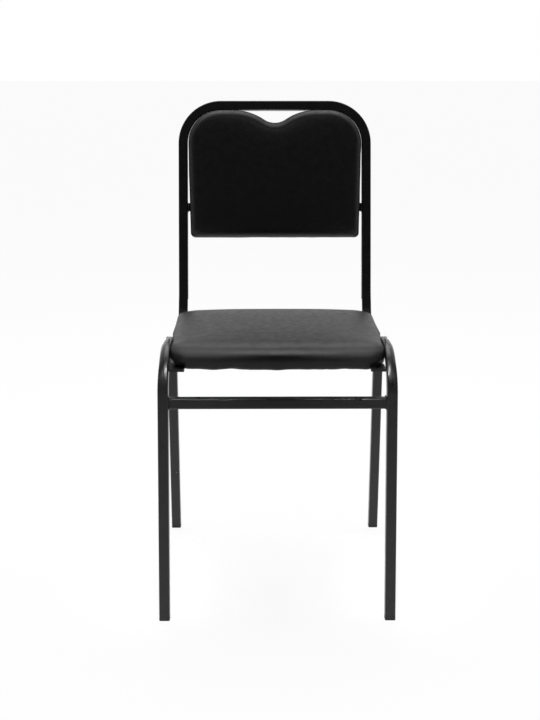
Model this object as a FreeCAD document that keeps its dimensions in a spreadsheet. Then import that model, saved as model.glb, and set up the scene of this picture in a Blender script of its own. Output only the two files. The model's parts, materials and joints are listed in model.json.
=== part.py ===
"""Stacking visitor chair: bent square-tube frame, padded seat, padded back with a hand-grip dip.

Millimetres, +Z up, the sitter faces -Y. The origin is on the floor, in the middle of the
chair's width and of its overall depth.
"""
import FreeCAD, Part
import Sketcher
import math
import os

Vector = FreeCAD.Vector
Rotation = FreeCAD.Rotation
Placement = FreeCAD.Placement

# Driving sizes: lengths in millimetres, angles in degrees
SIZES = {
    # square steel tube and the one die that bends it
    "tube_side": 18.0,
    "tube_wall": 1.5,
    "tube_corner": 1.8,
    "bore_corner": 1.2,
    "bend_radius": 74.0,
    # side tubes: front leg, falling rail and the root of the upright
    "foot_half_width": 195.3,
    "leg_lean": 0.58,
    "rail_toe": 1.36,
    "front_bend_drop": 42.6,
    "rail_fall": 13.5,
    "rear_corner_gap": 6.0,
    "joint_rise": 41.4,
    # back hoop
    "back_recline": 11.8,
    "chair_height": 862.0,
    # rear legs, lapped on the outer faces of the rails
    "rear_joint_offset": 9.9,
    "rear_leg_rise": 5.4,
    "rear_leg_rake": 11.3,
    "plug_head": 1.5,
    # front stretcher
    "stretcher_drop": 57.6,
    "stretcher_setback": 3.0,
    # foot caps
    "cap_height": 5.0,
    "spigot_length": 22.0,
    "spigot_clearance": 0.35,
    # seat
    "seat_setback": 18.0,
    "seat_depth": 414.0,
    "seat_front_gap": 0.8,
    "seat_rear_overhang": 14.3,
    "seat_front_corner": 46.0,
    "seat_rear_corner": 38.0,
    "seat_underside": 444.6,
    "seat_fall": 2.4,
    "seat_edge_height": 36.0,
    "seat_waist": 19.0,
    "seat_crown": 6.0,
    "seat_crown_reach": 124.0,
    "seat_board_thickness": 9.0,
    "seat_board_gap": 8.2,
    "seat_board_margin": 8.0,
    "seat_edge_round": 17.0,
    "seat_wrap": 3.0,
    "rail_clearance": 0.4,
    "tab_thickness": 5.0,
    "tab_width": 44.0,
    "tab_reach": 25.0,
    "tab_setback": 4.0,
    "tab_screw_inset": 18.0,
    "tab_screw_back": 9.0,
    "cross_screw_half_spacing": 120.0,
    "weld_gap": 0.15,
    # back pad
    "pad_height": 249.0,
    "pad_side_gap": 0.5,
    "pad_taper": 6.0,
    "pad_bottom_corner": 10.0,
    "pad_top_clearance": 0.4,
    "pad_thickness": 30.0,
    "pad_waist": 10.5,
    "pad_crown": 4.0,
    "pad_crown_reach": 32.0,
    "pad_edge_round": 14.0,
    "pad_wrap": 3.0,
    "dip_depth": 25.0,
    "dip_half_width": 82.0,
    "dip_shoulder": 110.0,
    "back_board_thickness": 8.0,
    "back_board_margin": 9.0,
    "back_board_face": 3.0,
    # back lugs
    "lug_thickness": 4.0,
    "lug_width": 16.0,
    "lug_reach": 40.0,
    "lug_screw_inset": 10.0,
    "side_lug_drop": 189.0,
    "top_lug_half_spacing": 96.0,
    # screws
    "screw_diameter": 5.0,
    "screw_clearance": 0.15,
    "screw_head_diameter": 10.0,
    "screw_head_face": 7.0,
    "screw_head_height": 2.6,
    "screw_bite": 6.0,
}

doc = FreeCAD.newDocument("VisitorChair")
sheet = doc.addObject("Spreadsheet::Sheet", "Sheet")
for row, (alias, value) in enumerate(SIZES.items(), start=1):
    sheet.set(f"A{row}", alias)
    sheet.set(f"B{row}", str(value))
    sheet.setAlias(f"B{row}", alias)
doc.recompute()


def size(alias):
    """A driving size, read back from the sheet."""
    return float(getattr(sheet, alias))


tube = size("tube_side")
half_tube = tube / 2
radius = size("bend_radius")
fall = math.radians(size("rail_fall"))
recline = math.radians(size("back_recline"))
rake = math.radians(size("rear_leg_rake"))
seat_fall = math.radians(size("seat_fall"))


class SidePath:
    """Centre line of a side tube in its own plane: (depth behind the front leg, height)."""

    bend_start = Vector(0, size("seat_underside") - size("front_bend_drop"))
    front_centre = bend_start + Vector(radius, 0)
    rail_direction = Vector(math.cos(fall), -math.sin(fall))
    rail_normal = Vector(math.sin(fall), math.cos(fall))
    upright_direction = Vector(math.sin(recline), math.cos(recline))
    rail_start = front_centre + rail_normal * radius
    seat_rear = size("seat_setback") - half_tube + size("seat_depth")
    rail_run = (seat_rear + size("rear_corner_gap") - rail_start.x) / math.cos(fall)
    corner = rail_start + rail_direction * rail_run
    turn = math.pi / 2 - recline + fall
    tangent_length = radius * math.tan(turn / 2)
    rail_end = corner - rail_direction * tangent_length
    rear_centre = rail_end + rail_normal * radius
    upright_start = corner + upright_direction * tangent_length
    joint_height = size("seat_underside") + size("joint_rise")
    stub = (joint_height - upright_start.y) / math.cos(recline)
    joint = upright_start + upright_direction * stub


def side_rotation(side):
    """Toe-in of the rail and inward lean of the leg, for side +1 (right) or -1 (left)."""
    toe = Rotation(Vector(0, 0, 1), side * size("rail_toe"))
    lean = Rotation(Vector(0, 1, 0), -side * size("leg_lean"))
    return toe.multiply(lean)


# The hoop stands on the upper ends of the two side tubes
joint_offset = side_rotation(1).multVec(Vector(0, SidePath.joint.x, SidePath.joint.y))
hoop_half_width = size("foot_half_width") + joint_offset.x
hoop_foot_height = joint_offset.z
hoop_rise = ((size("chair_height") - hoop_foot_height - half_tube * math.sin(recline))
             / math.cos(recline) - half_tube)
overall_depth = (half_tube + joint_offset.y + (hoop_rise + half_tube) * math.sin(recline)
                 + half_tube * math.cos(recline))
front_line = half_tube - overall_depth / 2


def side_placement(side):
    """Frame of a side: origin on the floor under the front leg, Y along the rail."""
    base = Vector(side * size("foot_half_width"), front_line, 0)
    return Placement(base, side_rotation(side))


hoop_placement = Placement(Vector(0, front_line + joint_offset.y, hoop_foot_height),
                           Rotation(Vector(1, 0, 0), -size("back_recline")))
seat_placement = Placement(
    Vector(0, front_line - half_tube + size("seat_setback"), size("seat_underside")),
    Rotation(Vector(1, 0, 0), -size("seat_fall")))


def new_body(label, placement):
    body = doc.addObject("PartDesign::Body", label)
    body.Label = label
    body.Placement = placement
    return body


def new_sketch(body, name, role, offset=Vector(0, 0, 0)):
    """Sketch on one of the body's own origin planes, moved by offset in the plane's axes."""
    plane = next(item for item in body.Origin.OriginFeatures if item.Role == role)
    sketch = body.newObject("Sketcher::SketchObject", name)
    sketch.AttachmentSupport = (plane, [""])
    sketch.MapMode = "FlatFace"
    sketch.AttachmentOffset = Placement(offset, Rotation())
    return sketch


def bind(sketch, constraint, expression):
    """Add a sized constraint and tie its value to the sheet."""
    index = sketch.addConstraint(constraint)
    sketch.setExpression(f"Constraints[{index}]", expression)


def add_line(sketch, start, end):
    return sketch.addGeometry(Part.LineSegment(start, end))


def add_arc(sketch, centre, arc_radius, first, last):
    circle = Part.Circle(centre, Vector(0, 0, 1), arc_radius)
    return sketch.addGeometry(Part.ArcOfCircle(circle, first, last))


def add_broken_square(sketch, half_x, half_y, chamfer, expressions):
    """Rectangle with broken corners centred on the sketch's origin.

    expressions: the width, the depth and the corner's cut, in the sheet's terms.
    """
    width, depth, cut_text = expressions
    inner_x = half_x - chamfer
    inner_y = half_y - chamfer
    points = [Vector(-inner_x, -half_y), Vector(inner_x, -half_y), Vector(half_x, -inner_y),
              Vector(half_x, inner_y), Vector(inner_x, half_y), Vector(-inner_x, half_y),
              Vector(-half_x, inner_y), Vector(-half_x, -inner_y)]
    count = len(points)
    lines = [add_line(sketch, points[index], points[(index + 1) % count])
             for index in range(count)]
    for index, line in enumerate(lines):
        sketch.addConstraint(
            Sketcher.Constraint("Coincident", line, 2, lines[(index + 1) % count], 1))
    half_width = f"({width}) / 2"
    half_depth = f"({depth}) / 2"
    signs = [(-1, -1), (1, -1), (1, -1), (1, 1), (1, 1), (-1, 1), (-1, 1), (-1, -1)]
    for index, (sign_x, sign_y) in enumerate(signs):
        on_side = index % 4 in (2, 3)
        x_text = half_width if on_side else f"{half_width} - {cut_text}"
        y_text = f"{half_depth} - {cut_text}" if on_side else half_depth
        bind(sketch, Sketcher.Constraint("DistanceX", -1, 1, lines[index], 1, points[index].x),
             f"{sign_x} * ({x_text})")
        bind(sketch, Sketcher.Constraint("DistanceY", -1, 1, lines[index], 1, points[index].y),
             f"{sign_y} * ({y_text})")


def add_tube_section(sketch, stretch=1.0, stretch_text="1"):
    """Hollow square section; stretch lengthens it in Y where a raked tube is cut level."""
    bore = tube - 2 * size("tube_wall")
    bore_text = "(Sheet.tube_side - 2 * Sheet.tube_wall)"
    add_broken_square(
        sketch, half_tube, half_tube * stretch, size("tube_corner"),
        ("Sheet.tube_side", f"Sheet.tube_side * {stretch_text}", "Sheet.tube_corner"))
    add_broken_square(
        sketch, bore / 2, bore / 2 * stretch, size("bore_corner"),
        (bore_text, f"{bore_text} * {stretch_text}", "Sheet.bore_corner"))


def add_side_path(sketch):
    """Leg, front bend, falling rail, rear bend and upright root, in the side's own plane."""
    path = SidePath
    leg = add_line(sketch, Vector(0, size("cap_height")), path.bend_start)
    front = add_arc(sketch, path.front_centre, radius, math.pi / 2 - fall, math.pi)
    rail = add_line(sketch, path.rail_start, path.rail_end)
    rear = add_arc(sketch, path.rear_centre, radius, -math.pi / 2 - fall, -recline)
    upright = add_line(sketch, path.upright_start, path.joint)
    sketch.addConstraint(Sketcher.Constraint("Vertical", leg))
    sketch.addConstraint(Sketcher.Constraint("PointOnObject", leg, 1, -2))
    sketch.addConstraint(Sketcher.Constraint("Tangent", leg, 2, front, 2))
    sketch.addConstraint(Sketcher.Constraint("Tangent", front, 1, rail, 1))
    sketch.addConstraint(Sketcher.Constraint("Tangent", rail, 2, rear, 1))
    sketch.addConstraint(Sketcher.Constraint("Tangent", rear, 2, upright, 1))
    sketch.addConstraint(Sketcher.Constraint("Equal", front, rear))
    bind(sketch, Sketcher.Constraint("DistanceY", -1, 1, leg, 1, size("cap_height")),
         "Sheet.cap_height")
    bind(sketch, Sketcher.Constraint("DistanceY", -1, 1, leg, 2, path.bend_start.y),
         "Sheet.seat_underside - Sheet.front_bend_drop")
    bind(sketch, Sketcher.Constraint("Radius", front, radius), "Sheet.bend_radius")
    bind(sketch, Sketcher.Constraint("Angle", rail, -fall), "-Sheet.rail_fall * 1 deg")
    bind(sketch, Sketcher.Constraint("Angle", upright, math.pi / 2 - recline),
         "90 deg - Sheet.back_recline * 1 deg")
    bind(sketch, Sketcher.Constraint("DistanceY", -1, 1, upright, 2, path.joint.y),
         "Sheet.seat_underside + Sheet.joint_rise")


def sweep_tube(body, section, path):
    pipe = body.newObject("PartDesign::AdditivePipe", "Bend")
    pipe.Profile = section
    pipe.Spine = (path, [f"Edge{index + 1}" for index in range(path.GeometryCount)])
    body.Tip = pipe


def build_side_tube(label, side):
    body = new_body(label, side_placement(side))
    path = new_sketch(body, label + "_path", "YZ_Plane")
    add_side_path(path)
    section = new_sketch(body, label + "_section", "XY_Plane", Vector(0, 0, size("cap_height")))
    section.setExpression("AttachmentOffset.Base.z", "Sheet.cap_height")
    add_tube_section(section)
    doc.recompute()
    sweep_tube(body, section, path)
    return body


def build_hoop(label):
    """Inverted U of the back: two uprights and the top rail, in the reclined plane."""
    body = new_body(label, hoop_placement)
    path = new_sketch(body, label + "_path", "XZ_Plane")
    shoulder = hoop_rise - radius
    inner = hoop_half_width - radius
    hoop_start = 2 * size("weld_gap")
    left = add_line(path, Vector(-hoop_half_width, hoop_start),
                    Vector(-hoop_half_width, shoulder))
    left_bend = add_arc(path, Vector(-inner, shoulder), radius, math.pi / 2, math.pi)
    top = add_line(path, Vector(-inner, hoop_rise), Vector(inner, hoop_rise))
    right_bend = add_arc(path, Vector(inner, shoulder), radius, 0, math.pi / 2)
    right = add_line(path, Vector(hoop_half_width, shoulder), Vector(hoop_half_width, hoop_start))
    for line in (left, right):
        path.addConstraint(Sketcher.Constraint("Vertical", line))
    path.addConstraint(Sketcher.Constraint("Tangent", left, 2, left_bend, 2))
    path.addConstraint(Sketcher.Constraint("Tangent", left_bend, 1, top, 1))
    path.addConstraint(Sketcher.Constraint("Tangent", top, 2, right_bend, 2))
    path.addConstraint(Sketcher.Constraint("Tangent", right_bend, 1, right, 1))
    path.addConstraint(Sketcher.Constraint("Equal", left_bend, right_bend))
    bind(path, Sketcher.Constraint("Radius", left_bend, radius), "Sheet.bend_radius")
    doc.recompute()
    section = new_sketch(body, label + "_section", "XY_Plane",
                         Vector(-hoop_half_width, 0, hoop_start))
    add_tube_section(section)
    doc.recompute()
    sweep_tube(body, section, path)
    return body


def pad_feature(body, sketch, length, expression=None, direction=None, reverse=False):
    """Pad of a sketch; a direction shears it, with the length still measured square to it."""
    pad = body.newObject("PartDesign::Pad", "Pad")
    pad.Profile = sketch
    pad.Length = length
    if expression:
        pad.setExpression("Length", expression)
    pad.Reversed = reverse
    if direction:
        pad.UseCustomVector = True
        pad.Direction = direction
        pad.AlongSketchNormal = True
    body.Tip = pad
    return pad


# A rear leg laps the rear bend near its lowest point and rakes back to the floor
bend_bottom = SidePath.rear_centre.y - radius
rear_joint_depth = SidePath.rear_centre.x + size("rear_joint_offset")
rear_leg_top = bend_bottom + size("rear_leg_rise")
rake_stretch = 1 / math.cos(rake)
rake_direction = Vector(0, -math.sin(rake), math.cos(rake))
RAKE_STRETCH_TEXT = "(1 / cos(Sheet.rear_leg_rake * 1 deg))"


def rear_leg_point(side, height):
    """Centre of a rear leg at a height, in its side's frame."""
    return Vector(side * tube, rear_joint_depth + (rear_leg_top - height) * math.tan(rake), height)


def build_rear_leg(label, side):
    """Raked leg cut level at both ends, its inner face against the rail's outer face."""
    body = new_body(label, side_placement(side))
    foot = rear_leg_point(side, size("cap_height"))
    section = new_sketch(body, label + "_section", "XY_Plane", foot)
    section.setExpression("AttachmentOffset.Base.z", "Sheet.cap_height")
    add_tube_section(section, rake_stretch, RAKE_STRETCH_TEXT)
    doc.recompute()
    pad_feature(body, section, rear_leg_top - size("cap_height"), direction=rake_direction)
    return body


def build_end_cap(label, placement, head, head_text, stretch, stretch_text, direction, upward):
    """Moulded end piece: a head of the tube's own section and a spigot inside its bore.

    Its origin is at the tube's cut end; upward tells which way the spigot goes.
    """
    body = new_body(label, placement)
    head_sketch = new_sketch(body, label + "_head", "XY_Plane")
    add_broken_square(
        head_sketch, half_tube, half_tube * stretch, size("tube_corner"),
        ("Sheet.tube_side", f"Sheet.tube_side * {stretch_text}", "Sheet.tube_corner"))
    spigot = tube - 2 * size("tube_wall") - 2 * size("spigot_clearance")
    spigot_text = "Sheet.tube_side - 2 * Sheet.tube_wall - 2 * Sheet.spigot_clearance"
    spigot_sketch = new_sketch(body, label + "_spigot", "XY_Plane")
    add_broken_square(
        spigot_sketch, spigot / 2, spigot / 2 * stretch, size("tube_wall"),
        (spigot_text, f"({spigot_text}) * {stretch_text}", "Sheet.tube_wall"))
    doc.recompute()
    pad_feature(body, head_sketch, head, head_text, direction, reverse=upward)
    pad_feature(body, spigot_sketch, size("spigot_length"), "Sheet.spigot_length",
                direction, reverse=not upward)
    return body


def level_placement(side, local):
    """Upright frame at a point of a side's frame, turned only by the rail's toe."""
    point = side_placement(side).multVec(local)
    return Placement(point, Rotation(Vector(0, 0, 1), side * size("rail_toe")))


def build_front_cap(label, side):
    placement = level_placement(side, Vector(0, 0, size("cap_height")))
    placement.Base.z = size("cap_height") - size("weld_gap")
    return build_end_cap(label, placement, placement.Base.z, "Sheet.cap_height - Sheet.weld_gap",
                         1, "1", None, True)


def build_rear_cap(label, side):
    placement = level_placement(side, rear_leg_point(side, size("cap_height")))
    placement.Base.z = size("cap_height") - size("weld_gap")
    return build_end_cap(label, placement, placement.Base.z, "Sheet.cap_height - Sheet.weld_gap",
                         rake_stretch, RAKE_STRETCH_TEXT, rake_direction, True)


def build_leg_plug(label, side):
    top = rear_leg_point(side, rear_leg_top)
    placement = side_placement(side).multiply(Placement(top, Rotation()))
    return build_end_cap(label, placement, size("plug_head"), "Sheet.plug_head",
                         rake_stretch, RAKE_STRETCH_TEXT, rake_direction, False)


def inner_face(depth, height):
    """Half the clear width between the two side tubes at a depth and a height."""
    lean = height * math.tan(math.radians(size("leg_lean")))
    toe = depth * math.sin(math.radians(size("rail_toe")))
    return size("foot_half_width") - lean - toe - half_tube - size("weld_gap")


def build_crossbar(label, placement, half_length, holes=()):
    """Straight square tube along X between the two sides, bored through for screws."""
    body = new_body(label, placement)
    section = new_sketch(body, label + "_section", "YZ_Plane", Vector(0, 0, -half_length))
    add_tube_section(section)
    doc.recompute()
    bar = body.newObject("PartDesign::Pad", "Pad")
    bar.Profile = section
    bar.Length = 2 * half_length
    body.Tip = bar
    if holes:
        doc.recompute()
        bores = new_sketch(body, label + "_bores", "XY_Plane", Vector(0, 0, half_tube))
        add_bores(bores, [Vector(x, 0) for x in holes])
        doc.recompute()
        pocket = body.newObject("PartDesign::Pocket", "Bores")
        pocket.Profile = bores
        pocket.Length = tube
        pocket.setExpression("Length", "Sheet.tube_side")
        body.Tip = pocket
    return body


def add_bores(sketch, centres):
    """Round screw holes of one size."""
    bore = size("screw_diameter") / 2 + size("screw_clearance")
    for centre in centres:
        hole = sketch.addGeometry(Part.Circle(centre, Vector(0, 0, 1), bore))
        bind(sketch, Sketcher.Constraint("Radius", hole, bore),
             "Sheet.screw_diameter / 2 + Sheet.screw_clearance")


stretcher_height = size("seat_underside") - size("stretcher_drop")
stretcher_placement = Placement(
    Vector(0, front_line + size("stretcher_setback"), stretcher_height), Rotation())
stretcher_half = inner_face(size("stretcher_setback") + half_tube, stretcher_height + half_tube)

seat_origin = seat_placement.Base
cross_run = (front_line + rear_joint_depth - seat_origin.y) / math.cos(seat_fall)
cross_placement = seat_placement.multiply(
    Placement(Vector(0, cross_run, -half_tube), Rotation()))
cross_half = inner_face(rear_joint_depth + half_tube, cross_placement.Base.z + half_tube)
cross_bores = (-size("cross_screw_half_spacing"), size("cross_screw_half_spacing"))

tab_outer = inner_face(size("seat_setback") + size("tab_width"), size("seat_underside"))
bend_clear = math.sqrt((radius - half_tube) ** 2 - size("front_bend_drop") ** 2)
tab_edge = inner_face(radius - bend_clear, size("seat_underside"))
tab_front = -size("tab_setback")
tab_screw_run = tab_front + size("tab_width") - size("tab_screw_back")
tab_screw = tab_outer - size("tab_screw_inset")

# The seat lies between the front bends and just over the rails at its rear
seat_front_half = tab_outer - size("seat_front_gap")
seat_rear_half = hoop_half_width + size("seat_rear_overhang")
seat_board_half = tab_outer - size("seat_board_gap")


def add_rectangle(sketch, low, high):
    """Closed rectangle between two opposite corners."""
    corners = [low, Vector(high.x, low.y), high, Vector(low.x, high.y)]
    lines = [add_line(sketch, corners[index], corners[(index + 1) % 4]) for index in range(4)]
    for index, line in enumerate(lines):
        sketch.addConstraint(Sketcher.Constraint("Coincident", line, 2, lines[(index + 1) % 4], 1))
    for index, line in enumerate(lines):
        direction = "Vertical" if index % 2 else "Horizontal"
        sketch.addConstraint(Sketcher.Constraint(direction, line))
    return lines


def build_seat_tab(label, side):
    """Flat steel tab on the inside of a front bend, under the seat board's front corner."""
    body = new_body(label, seat_placement)
    sketch = new_sketch(body, label + "_outline", "XY_Plane")
    ends = sorted((side * tab_edge, side * (tab_edge - size("tab_reach"))))
    low = Vector(ends[0], tab_front)
    high = Vector(ends[1], tab_front + size("tab_width"))
    lines = add_rectangle(sketch, low, high)
    bind(sketch, Sketcher.Constraint("Distance", lines[0], size("tab_reach")), "Sheet.tab_reach")
    bind(sketch, Sketcher.Constraint("Distance", lines[1], size("tab_width")), "Sheet.tab_width")
    add_bores(sketch, [Vector(side * tab_screw, tab_screw_run)])
    doc.recompute()
    pad_feature(body, sketch, size("tab_thickness"), "Sheet.tab_thickness", reverse=True)
    return body


def rounded_wire(points, radii):
    """Closed outline of straight runs with a round of its own radius at each corner."""
    edges = []
    stops = []
    count = len(points)
    for index, corner in enumerate(points):
        back = (points[index - 1] - corner).normalize()
        ahead = (points[(index + 1) % count] - corner).normalize()
        half_angle = back.getAngle(ahead) / 2
        reach = radii[index] / math.tan(half_angle)
        middle = (back + ahead).normalize()
        depth = radii[index] / math.sin(half_angle) - radii[index]
        stops.append((corner + back * reach, corner + middle * depth, corner + ahead * reach))
    for index, (start, middle, end) in enumerate(stops):
        edges.append(Part.Arc(start, middle, end).toShape())
        edges.append(Part.LineSegment(end, stops[(index + 1) % count][0]).toShape())
    return edges


def seat_outline(inset, height):
    """Seat plan at a height above its underside, drawn in by inset all round."""
    front = seat_front_half - inset
    rear = seat_rear_half - inset
    far = size("seat_depth") - inset
    shrink = 1 - inset / seat_front_half
    front_corner = size("seat_front_corner") * shrink
    rear_corner = size("seat_rear_corner") * shrink
    points = [Vector(-front, inset, height), Vector(front, inset, height),
              Vector(rear, far, height), Vector(-rear, far, height)]
    edges = rounded_wire(points, [front_corner, front_corner, rear_corner, rear_corner])
    return Part.Wire(edges)


FOOT_STEPS = 2
SHOULDER_STEPS = 4
CROWN_STEPS = 3
SHOULDER_SWEEP = math.radians(78)


def cushion_levels(thickness, waist, crown, crown_reach, edge_round, wrap):
    """Inset and height of a cushion's rings: drawn-in foot, round shoulder and crown."""
    levels = []
    for step in range(FOOT_STEPS):
        angle = math.pi / 2 * step / FOOT_STEPS
        levels.append((wrap * (1 - math.sin(angle)), waist * (1 - math.cos(angle))))
    for step in range(SHOULDER_STEPS + 1):
        angle = SHOULDER_SWEEP * step / SHOULDER_STEPS
        levels.append((edge_round * (1 - math.cos(angle)),
                       waist + (thickness - waist) * math.sin(angle)))
    last_inset, last_height = levels[-1]
    for step in range(1, CROWN_STEPS + 1):
        share = step / CROWN_STEPS
        rise = (thickness + crown - last_height) * (1 - (1 - share) ** 2)
        levels.append((last_inset + (crown_reach - last_inset) * share, last_height + rise))
    return levels


def cushion_solid(outline, levels):
    rings = [outline(inset, height) for inset, height in levels]
    return Part.makeLoft(rings, True, True)


def add_shape(label, shape, placement):
    item = doc.addObject("Part::Feature", label)
    item.Label = label
    item.Shape = shape
    item.Placement = placement
    return item


def cut(label, base, tools):
    """Base with every tool taken out of it."""
    result = base
    for index, tool in enumerate(tools):
        item = doc.addObject("Part::Cut", f"{label}_cut{index}")
        item.Base = result
        item.Tool = tool
        result = item
    result.Label = label
    return result


def build_rail_envelope(label, side):
    """Room that a side tube presses into the seat pad: the tube's path, a little fuller."""
    body = new_body(label, side_placement(side))
    path = new_sketch(body, label + "_path", "YZ_Plane")
    add_side_path(path)
    section = new_sketch(body, label + "_section", "XY_Plane", Vector(0, 0, size("cap_height")))
    half = half_tube + size("rail_clearance")
    full = "Sheet.tube_side + 2 * Sheet.rail_clearance"
    add_broken_square(section, half, half, size("tube_corner"),
                      (full, full, "Sheet.tube_corner"))
    doc.recompute()
    sweep_tube(body, section, path)
    return body


def build_seat_board(label, placement, bored=True):
    """Plywood board, rounded at its corners and bored for the four screws."""
    body = new_body(label, placement)
    sketch = new_sketch(body, label + "_outline", "XY_Plane")
    half = seat_board_half
    near = size("seat_board_margin")
    far = size("seat_depth") - size("seat_board_margin")
    corner = size("seat_rear_corner")
    points = [Vector(-half, near), Vector(half, near), Vector(half, far), Vector(-half, far)]
    for edge in rounded_wire(points, [corner] * 4):
        sketch.addGeometry(sketch_curve(edge))
    bores = [Vector(side * tab_screw, tab_screw_run) for side in (-1, 1)]
    bores += [Vector(x, cross_run) for x in cross_bores]
    if bored:
        add_bores(sketch, bores)
    doc.recompute()
    pad_feature(body, sketch, size("seat_board_thickness"), "Sheet.seat_board_thickness")
    return body


def sketch_curve(edge):
    """An outline's edge as sketch geometry: a straight line or an arc."""
    if edge.Curve.TypeId == "Part::GeomLine":
        return Part.LineSegment(edge.firstVertex().Point, edge.lastVertex().Point)
    middle = edge.valueAt((edge.FirstParameter + edge.LastParameter) / 2)
    return Part.Arc(edge.firstVertex().Point, middle, edge.lastVertex().Point)


rail_underside = hoop_rise - half_tube
pad_top = rail_underside - size("pad_top_clearance")
pad_top_half = hoop_half_width - half_tube - size("pad_side_gap")
pad_bottom_half = pad_top_half - size("pad_taper")
pad_top_corner = radius - half_tube
dip_reach = size("dip_half_width")
dip_bowl = (dip_reach ** 2 + size("dip_depth") ** 2) / (2 * size("dip_depth")) - size("dip_shoulder")


def back_outline_edges(inset):
    """Back pad's outline in the hoop's plane: tapered sides and a hand-grip dip in the top."""
    bottom = pad_top - size("pad_height") + inset
    top = pad_top - inset
    low_half = pad_bottom_half - inset
    high_half = pad_top_half - inset
    low_corner = size("pad_bottom_corner") * (1 - inset / pad_bottom_half)
    high_corner = pad_top_corner - inset
    points = [Vector(-low_half, bottom), Vector(low_half, bottom),
              Vector(high_half, top), Vector(-high_half, top)]
    edges = rounded_wire(points, [low_corner, low_corner, high_corner, high_corner])
    top_line = edges.pop(5)
    start = top_line.firstVertex().Point
    end = top_line.lastVertex().Point
    shoulder = size("dip_shoulder")
    bowl_centre = Vector(0, pad_top - size("dip_depth") + dip_bowl)
    dip = []
    for side in (1, -1):
        centre = Vector(side * dip_reach, pad_top - shoulder)
        towards = (bowl_centre - centre).normalize()
        crest = centre + Vector(0, shoulder - inset)
        touch = centre + towards * (shoulder - inset)
        between = centre + (towards + Vector(0, 1)).normalize() * (shoulder - inset)
        dip.append((crest, between, touch))
    right, left = dip
    lowest = bowl_centre - Vector(0, dip_bowl + inset)
    edges.insert(5, Part.LineSegment(start, right[0]).toShape())
    edges.insert(6, Part.Arc(*right).toShape())
    edges.insert(7, Part.Arc(right[2], lowest, left[2]).toShape())
    edges.insert(8, Part.Arc(left[2], left[1], left[0]).toShape())
    edges.insert(9, Part.LineSegment(left[0], end).toShape())
    return edges


def back_outline(inset, depth):
    """The outline stood up in the hoop's plane, at a depth in front of the pad's rear rim."""
    wire = Part.Wire(back_outline_edges(inset))
    wire.Placement = Placement(Vector(0, size("back_board_face") - depth, 0),
                               Rotation(Vector(1, 0, 0), 90))
    return wire


side_lug_height = rail_underside - size("side_lug_drop")
side_lug_outer = hoop_half_width - half_tube - size("weld_gap")
side_lug_screw = side_lug_outer - size("lug_reach") + size("lug_screw_inset")
top_lug_screw = rail_underside - size("lug_reach") + size("lug_screw_inset")
back_screws = [Vector(side * side_lug_screw, side_lug_height) for side in (-1, 1)]
back_screws += [Vector(side * size("top_lug_half_spacing"), top_lug_screw) for side in (-1, 1)]


def build_back_board(label, bored=True):
    """Plywood board of the back, following the pad's outline and its dip."""
    body = new_body(label, hoop_placement)
    sketch = new_sketch(body, label + "_outline", "XZ_Plane",
                        Vector(0, 0, -size("back_board_face")))
    sketch.setExpression("AttachmentOffset.Base.z", "-Sheet.back_board_face")
    for edge in back_outline_edges(size("back_board_margin")):
        sketch.addGeometry(sketch_curve(edge))
    if bored:
        add_bores(sketch, back_screws)
    doc.recompute()
    pad_feature(body, sketch, size("back_board_thickness"), "Sheet.back_board_thickness")
    return body


def build_lug(label, low, high, bore):
    """Flat steel lug behind the back board, welded to the hoop at one end."""
    body = new_body(label, hoop_placement)
    sketch = new_sketch(body, label + "_outline", "XZ_Plane",
                        Vector(0, 0, -size("back_board_face")))
    sketch.setExpression("AttachmentOffset.Base.z", "-Sheet.back_board_face")
    add_rectangle(sketch, low, high)
    add_bores(sketch, [bore])
    doc.recompute()
    pad_feature(body, sketch, size("lug_thickness"), "Sheet.lug_thickness", reverse=True)
    return body


def build_side_lug(label, side, bore):
    ends = sorted((side * side_lug_outer, side * (side_lug_outer - size("lug_reach"))))
    half = size("lug_width") / 2
    return build_lug(label, Vector(ends[0], side_lug_height - half),
                     Vector(ends[1], side_lug_height + half), bore)


def build_top_lug(label, side, bore):
    middle = side * size("top_lug_half_spacing")
    half = size("lug_width") / 2
    return build_lug(label, Vector(middle - half, rail_underside - size("lug_reach")),
                     Vector(middle + half, rail_underside - size("weld_gap")), bore)


def build_screw(name, placement, grip, grip_text):
    """Pan-head screw whose head bears at its origin and whose shank runs along +Z."""
    shank = doc.addObject("Part::Cylinder", name + "_shank")
    shank.setExpression("Radius", "Sheet.screw_diameter / 2")
    shank.setExpression("Height", f"{grip_text} + Sheet.screw_bite")
    shank.Placement = placement
    head = doc.addObject("Part::Cone", name + "_head")
    head.setExpression("Radius1", "Sheet.screw_head_face / 2")
    head.setExpression("Radius2", "Sheet.screw_head_diameter / 2")
    head.setExpression("Height", "Sheet.screw_head_height")
    head.Placement = placement.multiply(
        Placement(Vector(0, 0, -size("screw_head_height")), Rotation()))
    screw = doc.addObject("Part::Fuse", name)
    screw.Base = head
    screw.Tool = shank
    return screw


def group(label, items):
    """Identical small pieces as one sub-part of separate solids."""
    item = doc.addObject("Part::Compound", label)
    item.Label = label
    item.Links = items
    return item


SIDES = (("left", -1), ("right", 1))
nodes = [build_hoop("back_hoop")]
for name, side in SIDES:
    nodes.append(build_side_tube(f"{name}_side_tube", side))
    nodes.append(build_rear_leg(f"{name}_rear_leg", side))
    nodes.append(build_leg_plug(f"{name}_rear_leg_plug", side))
    nodes.append(build_front_cap(f"{name}_front_foot", side))
    nodes.append(build_rear_cap(f"{name}_rear_foot", side))
    nodes.append(build_seat_tab(f"{name}_seat_tab", side))
nodes.append(build_crossbar("front_stretcher", stretcher_placement, stretcher_half))
nodes.append(build_crossbar("rear_cross_rail", cross_placement, cross_half, cross_bores))

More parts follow.
